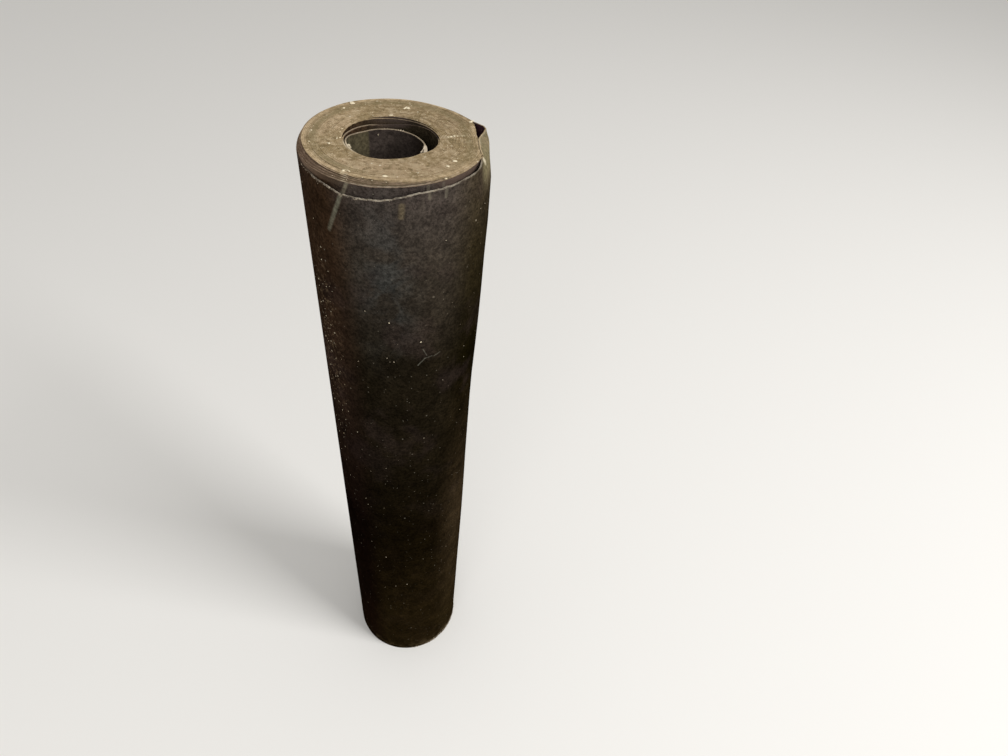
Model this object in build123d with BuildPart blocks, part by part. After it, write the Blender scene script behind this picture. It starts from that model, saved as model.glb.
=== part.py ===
"""A partly used roll of roofing felt, standing on its end.

One continuous sheet of asphalt felt is wound into a tight pack with an open middle.
The first turn has sprung inwards from the bore, the outer turns have slipped down
towards one side, and the last turn has a torn top edge and a free end that stands off.
The roll's axis is Z and its foot rests on Z = 0. Sizes are in millimetres. Azimuths are
in degrees, anticlockwise from +X seen from above, and the sheet winds outwards that way.
"""
from math import acos, atan2, cos, degrees, radians, sin
import os

from build123d import *

os.makedirs("parts", exist_ok=True)

# The sheet, whose width is the height of the standing roll
SHEET_WIDTH = 914.4
SHEET_THICKNESS = 1.3

# The tight turns, flush at both ends, and the bore, which lies off their axis
FLUSH_RADIUS = 77.0
BORE_RADIUS = 39.0
BORE_SHIFT = 5.6
BORE_SHIFT_AZIMUTH = -135.0

# The outer turns of the pack, whose top edges lean down towards one side
SLIPPED_TURNS = 3
SLIP_PER_TURN = 1.4
SLIP_AZIMUTH = -135.0

# The last turn, which leaves the pack along a wider arc and ends free
LAST_TURN_SLACK = 2.9
LAST_TURN_SEAT = -170.0
LAST_TURN_END = 17.0
TORN_DROP = 14.5

# The first turn, which leaves the bore's wall along a tighter arc and ends free
FIRST_TURN_SLACK = 5.3
FIRST_TURN_SEAT = 190.0
FIRST_TURN_END = -22.0
FIRST_TURN_DROP = 7.0

# The line where each turn meets the next, shown as one spiral groove in each end
GROOVE_WIDTH = 0.8
GROOVE_DEPTH = 1.0
TURNS_PER_GROOVE = 4
GROOVE_MARGIN = 2.5

# Sizes that follow from those above
PACK_RADIUS = FLUSH_RADIUS + SLIPPED_TURNS * SHEET_THICKNESS
LAST_TURN_RADIUS = PACK_RADIUS + LAST_TURN_SLACK
FIRST_TURN_RADIUS = BORE_RADIUS - FIRST_TURN_SLACK
GROOVE_PITCH = TURNS_PER_GROOVE * SHEET_THICKNESS
OVERRUN = SHEET_THICKNESS
HALF_TURN = 180.0
FULL_TURN = 360.0


def towards(azimuth, distance, height=0.0):
    """The point at this azimuth, distance from the roll's axis and height."""
    angle = radians(azimuth)
    return Vector(distance * cos(angle), distance * sin(angle), height)


AXIS = Vector(0, 0)
PACK_CENTRE = towards(LAST_TURN_SEAT, LAST_TURN_SLACK)
BORE_CENTRE = towards(BORE_SHIFT_AZIMUTH, BORE_SHIFT)
FIRST_TURN_CENTRE = BORE_CENTRE + towards(FIRST_TURN_SEAT, FIRST_TURN_SLACK)


def crossing(near_radius, shift, far_radius):
    """The angle, from the line of centres, at which two circles cross.

    It is seen from the centre of the near circle; the far circle's centre lies a shift
    away from it.
    """
    cosine = (near_radius**2 + shift**2 - far_radius**2) / (2 * near_radius * shift)
    return degrees(acos(cosine))


def azimuth_from(centre, point):
    """The azimuth of a point, seen from this centre."""
    return degrees(atan2(point.Y - centre.Y, point.X - centre.X))


def sweep_to(start, end):
    """The anticlockwise angle from one azimuth to another."""
    return (end - start) % FULL_TURN


def outer_edge():
    """The outside of the wound sheet: the pack, and the last turn leaving it."""
    last_sweep = sweep_to(LAST_TURN_SEAT, LAST_TURN_END)
    inside_radius = LAST_TURN_RADIUS - SHEET_THICKNESS
    parting = crossing(inside_radius, LAST_TURN_SLACK, PACK_RADIUS)
    outside = CenterArc(AXIS, LAST_TURN_RADIUS, LAST_TURN_SEAT, last_sweep)
    inside = CenterArc(AXIS, inside_radius, LAST_TURN_SEAT + parting, last_sweep - parting)
    Line(outside @ 1, inside @ 1)
    leaves = azimuth_from(PACK_CENTRE, inside @ 0)
    CenterArc(PACK_CENTRE, PACK_RADIUS, leaves, sweep_to(leaves, LAST_TURN_SEAT))


def inner_edge():
    """The inside of the wound sheet: the bore, and the first turn sprung from it."""
    first_sweep = sweep_to(FIRST_TURN_END, FIRST_TURN_SEAT)
    outside_radius = FIRST_TURN_RADIUS + SHEET_THICKNESS
    parting = crossing(outside_radius, FIRST_TURN_SLACK, BORE_RADIUS)
    inside = CenterArc(FIRST_TURN_CENTRE, FIRST_TURN_RADIUS, FIRST_TURN_END, first_sweep)
    outside = CenterArc(FIRST_TURN_CENTRE, outside_radius, FIRST_TURN_END,
                        first_sweep - (HALF_TURN - parting))
    Line(inside @ 0, outside @ 0)
    meets = azimuth_from(BORE_CENTRE, outside @ 1)
    CenterArc(BORE_CENTRE, BORE_RADIUS, FIRST_TURN_SEAT, sweep_to(FIRST_TURN_SEAT, meets))


def part_of_ring(centre, inside, outside, start, end):
    """A flat stretch between two radii and two azimuths."""
    sweep = sweep_to(start, end)
    with BuildSketch() as stretch:
        with BuildLine():
            outer = CenterArc(centre, outside, start, sweep)
            inner = CenterArc(centre, inside, start, sweep)
            Line(outer @ 0, inner @ 0)
            Line(outer @ 1, inner @ 1)
        make_face()
    return stretch.sketch


def space_above(section, drop):
    """The space over a section, down to a top edge that leans to the slipped side."""
    lean = atan2(drop, LAST_TURN_RADIUS)
    edge = Plane(origin=(0, 0, SHEET_WIDTH), z_dir=towards(SLIP_AZIMUTH, sin(lean), cos(lean)))
    with BuildPart() as space:
        with BuildSketch(Plane.XY.offset(SHEET_WIDTH - drop - OVERRUN)):
            add(section)
        extrude(amount=drop + 2 * OVERRUN)
        split(bisect_by=edge, keep=Keep.TOP)
    return space.part


def slipped_spaces():
    """The space over each slipped turn of the pack, a little deeper turn by turn."""
    spaces = []
    for turn in range(1, SLIPPED_TURNS + 1):
        inside = FLUSH_RADIUS + (turn - 1) * SHEET_THICKNESS
        outside = PACK_RADIUS + OVERRUN if turn == SLIPPED_TURNS else inside + SHEET_THICKNESS
        with BuildSketch() as ring:
            with Locations(PACK_CENTRE):
                Circle(outside)
                Circle(inside, mode=Mode.SUBTRACT)
        spaces.append(space_above(ring.sketch, turn * SLIP_PER_TURN))
    return spaces


def spiral_groove():
    """One long cut along the winding, as half turns about two centres in turn."""
    first = BORE_RADIUS + (BORE_CENTRE - PACK_CENTRE).length + GROOVE_MARGIN
    room = FLUSH_RADIUS - GROOVE_MARGIN - GROOVE_WIDTH - first
    halves = int(2 * room / GROOVE_PITCH)
    walls = []
    with BuildSketch() as groove:
        with BuildLine():
            for radius in (first, first + GROOVE_WIDTH):
                wall = []
                for half in range(halves):
                    centre = PACK_CENTRE + Vector(half % 2 * GROOVE_PITCH / 2, 0)
                    wall.append(CenterArc(centre, radius + half * GROOVE_PITCH / 2,
                                          half % 2 * HALF_TURN, HALF_TURN))
                walls.append(wall)
            Line(walls[0][0] @ 0, walls[1][0] @ 0)
            Line(walls[0][-1] @ 1, walls[1][-1] @ 1)
        make_face()
    return groove.sketch


last_turn_section = part_of_ring(AXIS, LAST_TURN_RADIUS - SHEET_THICKNESS,
                                 LAST_TURN_RADIUS + OVERRUN, LAST_TURN_SEAT, LAST_TURN_END)
first_turn_section = part_of_ring(FIRST_TURN_CENTRE, FIRST_TURN_RADIUS - OVERRUN,
                                  FIRST_TURN_RADIUS + SHEET_THICKNESS,
                                  FIRST_TURN_END, FIRST_TURN_SEAT)
winding = spiral_groove()

with BuildPart() as felt_roll:
    # The whole wound sheet, as one section carried up its width
    with BuildSketch():
        with BuildLine():
            outer_edge()
        make_face()
        with BuildLine():
            inner_edge()
        make_face(mode=Mode.SUBTRACT)
    extrude(amount=SHEET_WIDTH)

    # The slipped and torn top edges
    for space in slipped_spaces():
        add(space, mode=Mode.SUBTRACT)
    add(space_above(last_turn_section, TORN_DROP), mode=Mode.SUBTRACT)

    # The first turn's top edge, sunk below the end
    with BuildSketch(Plane.XY.offset(SHEET_WIDTH - FIRST_TURN_DROP)):
        add(first_turn_section)
    extrude(amount=FIRST_TURN_DROP + OVERRUN, mode=Mode.SUBTRACT)

    # The winding, shown on both ends
    for end in (Plane.XY.offset(SHEET_WIDTH - GROOVE_DEPTH), Plane.XY.offset(-OVERRUN)):
        with BuildSketch(end):
            add(winding)
        extrude(amount=GROOVE_DEPTH + OVERRUN, mode=Mode.SUBTRACT)

felt_roll.part.label = "felt_roll"
export_step(felt_roll.part, "parts/felt_roll.step")
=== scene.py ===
"""The looks of a partly used roll of roofing felt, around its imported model.

The roll is one strip of felt, wound from its free first end out to its free last end.
The strip is built whole, as one closed mesh, from a path seen from above and from the
heights of its top and foot edges along that path. Lengths are in metres unless a
comment says millimetres, and azimuths are in degrees, anticlockwise from +X seen from
above. A station is a place along the strip: its azimuth plus whole turns.
"""

import math

import bpy
import numpy as np
from mathutils import Matrix, Vector, noise


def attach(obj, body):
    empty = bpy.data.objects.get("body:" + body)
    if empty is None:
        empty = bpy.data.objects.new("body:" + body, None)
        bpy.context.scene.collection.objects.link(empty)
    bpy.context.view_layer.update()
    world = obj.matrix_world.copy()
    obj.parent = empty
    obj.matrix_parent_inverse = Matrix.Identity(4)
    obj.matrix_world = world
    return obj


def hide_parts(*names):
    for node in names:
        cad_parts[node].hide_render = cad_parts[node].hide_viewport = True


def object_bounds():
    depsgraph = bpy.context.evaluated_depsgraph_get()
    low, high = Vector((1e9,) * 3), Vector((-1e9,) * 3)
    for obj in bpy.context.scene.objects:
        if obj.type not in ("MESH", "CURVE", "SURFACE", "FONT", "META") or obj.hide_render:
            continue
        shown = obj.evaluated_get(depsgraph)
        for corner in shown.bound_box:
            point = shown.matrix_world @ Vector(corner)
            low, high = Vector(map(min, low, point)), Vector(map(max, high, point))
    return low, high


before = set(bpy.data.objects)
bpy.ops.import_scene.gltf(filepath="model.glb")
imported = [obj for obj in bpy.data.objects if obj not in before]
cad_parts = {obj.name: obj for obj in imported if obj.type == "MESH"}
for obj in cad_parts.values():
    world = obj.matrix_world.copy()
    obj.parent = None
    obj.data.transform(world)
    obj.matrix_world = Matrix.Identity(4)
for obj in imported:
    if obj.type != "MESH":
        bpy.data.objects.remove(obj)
cad_low, cad_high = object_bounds()

MM = 0.001
TALL = cad_high.z
HALF_TURN = 180
FULL_TURN = 360

# The winding, as in the solid model
LAST_TURN_RADIUS = cad_high.x
LAST_TURN_SLACK = 2.9 * MM
LAST_TURN_SEAT = -170
LAST_TURN_END = 28
BORE_RADIUS = 39 * MM
BORE_SHIFT = 5.6 * MM
BORE_SHIFT_AZIMUTH = -135
FIRST_TURN_SLACK = 5.3 * MM
FIRST_TURN_SEAT = 190
FIRST_TURN_END = -12
FIRST_TURN_DROP = 7.3
PACK_TURNS = 31

# The strip's own section: its thickness, and how its edges are rounded
FELT = 1.29 * MM
EDGE_ROUNDING = 0.16 * MM
EDGE_SHARE = 0.86


def towards(azimuth, distance=1):
    """The flat vector at this azimuth."""
    angle = math.radians(azimuth)
    return np.array([math.cos(angle), math.sin(angle)]) * distance


PACK_CENTRE = towards(LAST_TURN_SEAT, LAST_TURN_SLACK)
BORE_CENTRE = towards(BORE_SHIFT_AZIMUTH, BORE_SHIFT)
FIRST_TURN_CENTRE = BORE_CENTRE + towards(FIRST_TURN_SEAT, FIRST_TURN_SLACK)

# The strip's stations, from its first end to its last
FIRST_STATION = FIRST_TURN_END
PACK_START = FIRST_TURN_SEAT
PACK_END = FIRST_TURN_SEAT + PACK_TURNS * FULL_TURN
LAST_STATION = PACK_END + (LAST_TURN_END - LAST_TURN_SEAT)

# Where the first turn starts and ends, in turns in from the pack's outside
LAP_START = (PACK_END - PACK_START) / FULL_TURN
LAP_END = (PACK_END - FIRST_STATION) / FULL_TURN


def wave(value, seed):
    """Smooth noise from about -1 to 1 along a line, the same on every run."""
    return noise.noise(Vector((value, 17.3 * seed, 5.1 * seed))) * 1.6


def waves(value, rows):
    """Several waves together; each row is a rate, a seed and a height."""
    return sum(height * wave(value * rate, seed) for rate, seed, height in rows)


def ramp(value, low, high):
    """0 below low and 1 above high, smooth between them."""
    t = min(1, max(0, (value - low) / (high - low)))
    return t * t * (3 - 2 * t)


def hill(value, middle, half_width):
    """1 at the middle, falling smoothly to 0 at half a width away."""
    away = abs(value - middle) / half_width
    return 0 if away >= 1 else (1 - away * away) ** 2


def read(table, value):
    """The value between the rows of a table of pairs."""
    places, amounts = zip(*table)
    return float(np.interp(value, places, amounts))


# How far the last turn's torn edge lies below the end: azimuth, millimetres
TORN_EDGE = [
    (-170, 10.5), (-155, 10.2), (-147.7, 10.2), (-138, 11.4), (-129, 12.8), (-122.5, 14.4), (-112.8, 13.9),
    (-102, 13), (-93.4, 11.8), (-92, 9.6), (-78, 5.8), (-66.9, 4.8), (-53.9, 3.2), (-46, 2.3), (-37.6, 2),
    (-33, 1.4), (-29, 0.2), (-27.5, -0.4), (-26, 0), (-22.6, 0.1), (-22.1, 2.4), (-21.2, 2.4), (-20.7, 0),
    (-18, -0.3), (8, -0.3), (18, 0), (24, 0.6), (28, 1.6)]
RAGGED = [(0.11, 3, 0.5), (0.42, 4, 0.35), (1.5, 5, 0.3)]

# How uneven each turn's top edge is: rate, seed, millimetres; and how far every edge is sunk
UNEVEN = [(1 / 260, 1, 0.16), (1 / 23, 2, 0.1), (1 / 3.1, 9, 0.05)]
ALL_SUNK = 0.3

# How far the pack's outermost turn lies below the end, and how many turns lean down with it
SLIPPED = [
    (-180, 8.5), (-171, 9), (-155, 7.8), (-140, 5.8), (-124, 4.6), (-105, 3.6), (-95, 2.6), (-89, 2.2),
    (-78, 1.5), (-66, 0.8), (-52, 0), (28, 0), (36, 1), (60, 2), (90, 2.5), (135, 3.5), (160, 5.5),
    (180, 8.5)]
LEANING_TURNS = [
    (-180, 3.3), (-172, 3.4), (-165, 4), (-159, 3.6), (-152, 3.8), (-143, 4), (-133, 4.4), (-124, 4.2),
    (-118, 4.8), (-112, 5.4), (-104, 5.8), (-94, 5.3), (-78, 4.2), (-66, 2.8), (-50, 1.5), (28, 1.5),
    (60, 2), (135, 3.4), (180, 3.3)]
SLIP_JITTER = 0.5

# The shallow step behind the pack's outermost turn: turns in, half width, azimuth, half width, millimetres
LIP_STEP = (1.35, 0.6, -100, 50, 1.6)

# How far the bore's wall lies inwards of its even circle at the front: azimuth, millimetres
EASED = [
    (-150, 0), (-131, 0.3), (-105, 2.1), (-93, 4), (-79, 4.8), (-65, 4.9), (-56, 5.2), (-46, 5.6),
    (-37, 3.2), (-25, 1.2), (-10, 0)]

# How far the innermost turns are worn down at the back of the bore
WORN_RIM = [(-25, 0), (0, 0.4), (18, 1.2), (50, 2.2), (80, 3.6), (100, 3), (120, 1), (140, 0)]
WORN_TURNS = 3.2

# The second turn's sag below the end: station, half width, millimetres
SECOND_SAG = (478, 88, 3.2)

# How far the first two turns have sprung inwards: station, half width, millimetres
SPRUNG = [(158, 60, 1.5), (482, 66, 2.2), (FIRST_STATION, 30, -0.6)]

# The split first end: how far it reaches, how much it is fanned, and between which depths that grows
FAN_REACH = 26
FAN_THICKNESS = 4.4 * MM
FAN_FROM = 80 * MM
FAN_TO = 30 * MM

# The pocket behind the free end, where the pack's outer turns are sunk: azimuth, millimetres, turns
POCKET_DEPTH = [(-30, 0), (-24, 4), (-15, 7), (0, 8), (8, 12), (16, 12), (24, 8), (28, 0)]
POCKET_TURNS = [
    (-30, 0), (-24, 0.3), (-19.8, 0.9), (-14.8, 2.4), (-7.9, 3.7), (0.8, 4.4), (6.7, 5.5), (13, 4.1),
    (18.6, 2.6), (24, 0.8), (28, 0)]

# How far the last turn's top edge is bent inwards from where it would lie: azimuth, millimetres
BENT_IN = [
    (-34, 0), (-30, 0.2), (-26, 0.5), (-22, 1.2), (-19.8, 2.7), (-14.8, 5.4), (-7.9, 7.2), (0.8, 8.1),
    (6.7, 6.6), (12.1, 3.3), (14.5, 0.6), (17, 0)]
BEND_DEPTH = 3.2 * MM

# How far the free end turns back in towards the pack
TURNED_IN = [(9, 0), (13, 0.4), (15.8, 1.3), (18.7, 1.5), (21.9, 3.2), (24, 4), (28, 4.5)]

# The last turn's pinch near its top and its bulges below: height, millimetres outwards
PINCH = [(876, 0), (883, -0.5), (890, -1.4), (897, -2.4), (903, -3.5), (914, -5.2)]
BULGE = [
    (0, 0.3), (160, 0.1), (312, -0.2), (362, -0.1), (452, -1.4), (554, -2.2), (620, -2.4), (711, -0.5),
    (780, 0.3), (819, 0.4), (860, 1.2), (876, 0.9), (914, 0.8)]

# The frayed stretch of the foot: azimuth, and millimetres that it is torn and flared
FRAYED_AT = -42
FRAYED_UP = 2.6
FLARED_OUT = 1.3


def azimuth_of(station):
    """The azimuth of a station, from -180 to 180."""
    return (station + HALF_TURN) % FULL_TURN - HALF_TURN


def last_station(azimuth):
    """The last turn's station at this azimuth."""
    return PACK_END + azimuth - LAST_TURN_SEAT


def last_azimuth(station):
    """The azimuth of one of the last turn's stations, counted on from its seat."""
    return station - PACK_END + LAST_TURN_SEAT


def torn_drop(station):
    """The last turn's top edge, below the end, with its ragged tear, in millimetres."""
    drop = read(TORN_EDGE, last_azimuth(station))
    return drop + waves(station, RAGGED) * ramp(drop, 0.3, 4)


def slip(azimuth, turns_in):
    """How far a turn of the pack lies below the end, in millimetres."""
    share = max(0, 1 - turns_in / read(LEANING_TURNS, azimuth))
    leaning = read(SLIPPED, azimuth) * share
    leaning += SLIP_JITTER * wave(turns_in * 0.83 + azimuth * 0.012, 12) * ramp(leaning, 0.6, 2.5)
    turns, reach, middle, half_width, depth = LIP_STEP
    lip_step = depth * hill(turns_in, turns, reach) * hill(azimuth, middle, half_width)
    pocket = read(POCKET_DEPTH, azimuth) * ramp(read(POCKET_TURNS, azimuth) - turns_in, 0, 0.3)
    return leaning + lip_step + pocket


def top_of(station):
    """The height of the strip's top edge."""
    azimuth = azimuth_of(station)
    turns_in = (PACK_END - station) / FULL_TURN
    uneven = waves(station, UNEVEN)
    worn = read(WORN_RIM, azimuth) * ramp(turns_in, PACK_TURNS - WORN_TURNS, PACK_TURNS - 0.4)
    if station > PACK_END:
        return TALL - torn_drop(station) * MM
    if station < PACK_START + FULL_TURN:
        sunk = FIRST_TURN_DROP * (1 - ramp(station, PACK_START - 75, PACK_START + 12))
        middle, half_width, sag = SECOND_SAG
        second = sag * hill(station, middle, half_width) + worn * ramp(station, PACK_START, PACK_START + 40)
        return TALL - (sunk + second + ALL_SUNK) * MM + uneven * 1.5 * MM
    return TALL + (uneven - ALL_SUNK - slip(azimuth, turns_in) - worn) * MM


def foot_of(station):
    """The height of the strip's foot edge."""
    if station > PACK_END:
        frayed = FRAYED_UP * hill(last_azimuth(station), FRAYED_AT, 36)
        frayed *= max(0, 0.8 + 0.7 * wave(station * 0.45, 7))
        return (0.25 + 0.25 * wave(station * 0.1, 6) + frayed) * MM
    return (0.5 + 0.5 * wave(station / 190, 8)) * MM


def stand_off(azimuth, height):
    """How far the last turn lies outside its even arc, or inside it when below 0."""
    level = height / MM
    pinched = ramp(azimuth, -41, -22) * (1 - ramp(azimuth, -4, 14))
    depth = max(0, TALL - height)
    bend = read(BENT_IN, azimuth) * math.exp(-((depth / BEND_DEPTH) ** 1.3))
    body = read(BULGE, level) * hill(azimuth, -9, 80)
    turned_in = read(TURNED_IN, azimuth) * (0.55 + 0.45 * ramp(level, 500, 880))
    flare = FLARED_OUT * hill(azimuth, FRAYED_AT, 50) * (1 - ramp(level, 0, 22))
    dents = 0.45 * noise.noise(Vector((azimuth * 0.03, height * 9, 1)))
    dents += 0.2 * noise.noise(Vector((azimuth * 0.11, height * 31, 2)))
    return (read(PINCH, level) * pinched - bend + body - turned_in + flare + dents) * MM


def sprung(station):
    """How far the first two turns have sprung inwards from their even winding."""
    return sum(amount * hill(station, middle, half_width) for middle, half_width, amount in SPRUNG) * MM


def thickness(station):
    """The sheet's thickness, a little fuller where the bore's wall lies inwards."""
    if PACK_START < station < PACK_END:
        return FELT * (1 + read(EASED, azimuth_of(station)) * MM / (LAST_TURN_RADIUS - BORE_RADIUS))
    return FELT


def fanned(station, height):
    """How much thicker the split first end is on its inside."""
    near_end = max(0, (FIRST_STATION + FAN_REACH - station) / FAN_REACH)
    return FAN_THICKNESS * near_end * ramp(height, TALL - FAN_FROM, TALL - FAN_TO)


def middle_of(station, height):
    """The place of the strip's middle and its outward direction, both flat vectors."""
    outward = towards(station)
    if station > PACK_END:
        azimuth = last_azimuth(station)
        settled = ramp(azimuth, LAST_TURN_SEAT, LAST_TURN_SEAT + 30)
        radius = LAST_TURN_RADIUS - FELT / 2 + stand_off(azimuth, height) * settled
        return outward * radius, outward
    if station < PACK_START:
        radius = BORE_RADIUS - FIRST_TURN_SLACK + FELT / 2 - sprung(station)
        return FIRST_TURN_CENTRE + outward * radius, outward
    share = (station - PACK_START) / (PACK_END - PACK_START)
    centre = BORE_CENTRE + (PACK_CENTRE - BORE_CENTRE) * share
    inner = BORE_RADIUS + FELT / 2
    outer = LAST_TURN_RADIUS - LAST_TURN_SLACK - FELT / 2
    eased = read(EASED, azimuth_of(station)) * MM * (1 - share)
    return centre + outward * (inner + (outer - inner) * share - sprung(station) - eased), outward


# Heights of a column's rows: below its top edge, and above its foot
OPEN_TOP = [0, EDGE_ROUNDING, 0.9 * MM, 2 * MM, 3.4 * MM, 5.5 * MM, 8.5 * MM, 13 * MM, 20 * MM, 30 * MM]
OPEN_FOOT = [0, EDGE_ROUNDING, 3 * MM, 9 * MM, 20 * MM]
CLOSED_ROWS = [0, EDGE_ROUNDING, 6 * MM]
OPEN_ROWS = 20

# Degrees between two columns: at the first end, in the bore, in the pack, and on the outer turns
END_STEP = 1
BORE_STEP = 2.5
PACK_STEP = 3
FINE_STEP = 0.75

# The pack's turns and half width of azimuth round the pocket that have fine columns
FINE_TURNS = 7
FINE_HALF_WIDTH = 30


def step_from(station, in_pack):
    """The step from one column to the next."""
    if station < FIRST_STATION + 28:
        return END_STEP
    if station < PACK_START + 20:
        return BORE_STEP
    by_pocket = station > PACK_END - FINE_TURNS * FULL_TURN and abs(azimuth_of(station)) < FINE_HALF_WIDTH
    return PACK_STEP if in_pack and not by_pocket else FINE_STEP


def stations():
    """Every station of the strip, and whether its column has rows all the way up."""
    outer_turn = LAST_STATION - FULL_TURN - 10
    station = FIRST_STATION
    while station < LAST_STATION:
        in_pack = PACK_START + 20 < station < outer_turn
        yield station, not in_pack
        station += step_from(station, in_pack)
    yield LAST_STATION, True


def column_heights(station, whole):
    """The heights of one column's rows, from the foot up."""
    foot, top = foot_of(station), top_of(station)
    foot_rows, top_rows = (OPEN_FOOT, OPEN_TOP) if whole else (CLOSED_ROWS, CLOSED_ROWS)
    heights = [foot + rise for rise in foot_rows]
    if whole:
        low, high = heights[-1], top - top_rows[-1]
        heights += [low + (high - low) * (i + 1) / (OPEN_ROWS + 1) for i in range(OPEN_ROWS)]
    return heights + [top - sink for sink in reversed(top_rows)]


# The material slots of the strip's sides, top edge and foot edge
SIDE, TOP, FOOT = 0, 1, 2


class Strip:
    """The whole strip's mesh: points with their measures, and faces with their slots."""

    def __init__(self):
        self.points, self.faces, self.slots = [], [], []
        self.measures = {name: [] for name in ("below_top", "above_foot", "turns_in", "sunk", "side")}

    def column(self, station, whole):
        """Adds one column's points and returns their numbers by side, -1 inside and 1 outside."""
        heights = column_heights(station, whole)
        last = len(heights) - 1
        sides = {}
        for side in (-1, 1):
            start = len(self.points)
            for row, height in enumerate(heights):
                share = EDGE_SHARE if row in (0, last) else 1
                middle, outward = middle_of(station, height)
                thick = thickness(station) / 2 * share + (fanned(station, height) if side == -1 else 0)
                place = middle + outward * side * thick
                self.points.append((place[0], place[1], height))
                measured = (heights[-1] - height, height - heights[0], (PACK_END - station) / FULL_TURN,
                            (TALL - heights[-1]) / MM, side)
                for values, value in zip(self.measures.values(), measured):
                    values.append(value)
            sides[side] = list(range(start, len(self.points)))
        return sides

    def face(self, loop, slot, flipped=False):
        """Adds one face."""
        self.faces.append(loop[::-1] if flipped else loop)
        self.slots.append(slot)

    def join(self, old, new):
        """Adds the faces between two columns, which may differ in their rows."""
        for side in (-1, 1):
            a, b = old[side], new[side]
            if len(a) == len(b):
                quads = [[a[i], b[i], b[i + 1], a[i + 1]] for i in range(len(a) - 1)]
            else:
                quads = [[a[0], b[0], b[1], a[1]], b[1:-1] + a[1:-1][::-1], [a[-2], b[-2], b[-1], a[-1]]]
            for quad in quads:
                self.face(quad, SIDE, side == -1)
        self.face([old[-1][-1], old[1][-1], new[1][-1], new[-1][-1]], TOP)
        self.face([old[1][0], old[-1][0], new[-1][0], new[1][0]], FOOT)


def wound_strip():
    """The mesh of the whole strip, from its first end to its last."""
    strip = Strip()
    columns = [strip.column(station, whole) for station, whole in stations()]
    first, last = columns[0], columns[-1]
    strip.face(first[-1] + first[1][::-1], TOP)
    for old, new in zip(columns, columns[1:]):
        strip.join(old, new)
    strip.face(last[-1] + last[1][::-1], TOP, True)
    return strip


def placed(name, data):
    """A new object in the scene."""
    made = bpy.data.objects.new(name, data)
    bpy.context.scene.collection.objects.link(made)
    return made


def mesh_object(name, points, faces):
    """A new object in the scene from points and faces."""
    mesh = bpy.data.meshes.new(name)
    mesh.from_pydata(points, [], faces)
    return placed(name, mesh)


def shade_smooth_sides(made, slots):
    """Sets each face's slot and smooths the sides."""
    made.data.polygons.foreach_set("material_index", slots)
    made.data.polygons.foreach_set("use_smooth", [slot == SIDE for slot in slots])
    made.data.update()


def measure(made, name, values):
    """Gives each point of a mesh one number that its material reads."""
    made.data.attributes.new(name, "FLOAT", "POINT").data.foreach_set("value", values)


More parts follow.
